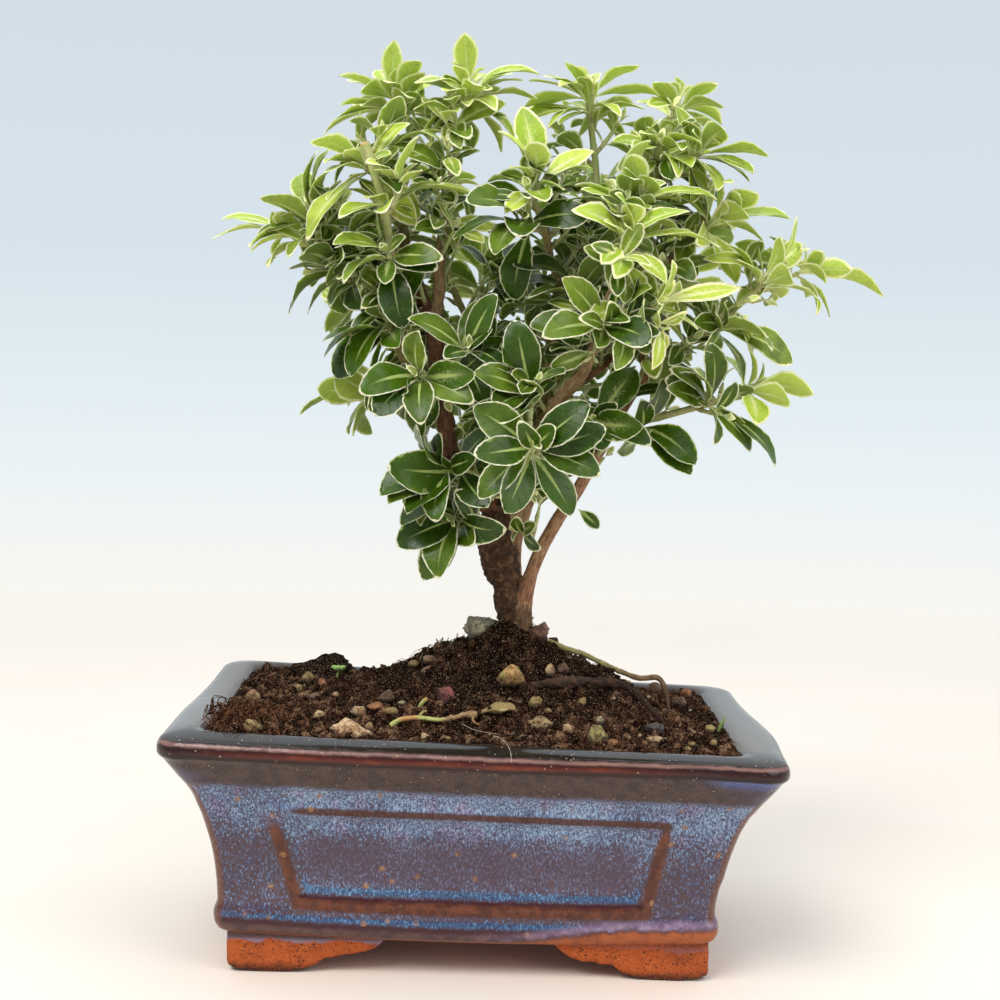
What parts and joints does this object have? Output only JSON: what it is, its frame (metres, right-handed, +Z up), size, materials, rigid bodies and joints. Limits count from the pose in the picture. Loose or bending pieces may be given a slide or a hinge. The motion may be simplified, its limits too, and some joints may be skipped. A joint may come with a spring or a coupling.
{
  "type": "serissa bonsai",
  "caption": "Small variegated serissa tree grown as a bonsai in a glazed rectangular pot on bracket feet, free-standing ornament.",
  "frame": {"origin": "middle of the whole object's box, at the plane that the feet stand on", "axes": "+Z up, +X to the right and -Y towards the viewer who faces the tree's front; the long side of the pot lies along X"},
  "size_m": [0.182, 0.1098, 0.237],
  "materials": {
    "glaze": "glossy speckled blue over brown, bare orange clay on the feet",
    "drain_plastic": "satin",
    "soil": "rough, damp, crumbly",
    "bark": "rough flaking bark",
    "leaf_mature": "satin, dark green with a cream margin",
    "leaf_young": "satin, lime green with a pale margin",
    "stone_grey": "rough, mossy",
    "stone_pink": "rough",
    "pebble_ochre": "rough",
    "pebble_olive": "rough",
    "pebble_dark": "smooth",
    "pebble_tan": "rough",
    "lava": "rough, porous",
    "dry_twig": "satin",
    "dry_leaf": "matt, dry"
  },
  "bodies": {
    "root": {"pot": "glaze", "drain_mesh_left": "drain_plastic", "drain_mesh_right": "drain_plastic", "soil": "soil", "tree_wood": "bark", "shoot_01": "leaf_young", "shoot_02": "leaf_young", "shoot_03": "leaf_young", "shoot_04": "leaf_young", "shoot_05": "leaf_mature", "shoot_06": "leaf_young", "shoot_07": "leaf_young", "shoot_08": "leaf_mature", "shoot_09": "leaf_mature", "shoot_10": "leaf_young", "shoot_11": "leaf_young", "shoot_12": "leaf_young", "shoot_13": "leaf_young", "shoot_14": "leaf_young", "shoot_15": "leaf_young", "shoot_16": "leaf_young", "shoot_17": "leaf_young", "shoot_18": "leaf_young", "shoot_19": "leaf_young", "shoot_20": "leaf_young", "shoot_21": "leaf_young", "shoot_22": "leaf_mature", "shoot_23": "leaf_mature", "shoot_24": "leaf_mature", "shoot_25": "leaf_mature", "shoot_26": "leaf_mature", "shoot_27": "leaf_mature", "shoot_28": "leaf_mature", "shoot_29": "leaf_mature", "shoot_30": "leaf_mature", "shoot_31": "leaf_mature", "shoot_32": "leaf_mature", "shoot_33": "leaf_young", "shoot_34": "leaf_mature", "shoot_35": "leaf_mature", "shoot_36": "leaf_mature", "shoot_37": "leaf_young", "shoot_38": "leaf_young", "shoot_39": "leaf_young", "shoot_40": "leaf_young", "shoot_41": "leaf_young", "shoot_42": "leaf_mature", "shoot_43": "leaf_mature", "shoot_44": "leaf_mature", "stone_grey": "stone_grey", "stone_pink": "stone_pink", "pebble_ochre": "pebble_ochre", "pebble_long": "pebble_olive", "pebble_olive": "pebble_olive", "pebble_dark": "pebble_dark", "pebble_tan": "pebble_tan", "lava_lump": "lava", "lying_twig": "dry_twig", "dry_leaf": "dry_leaf"}
  },
  "joints": []
}
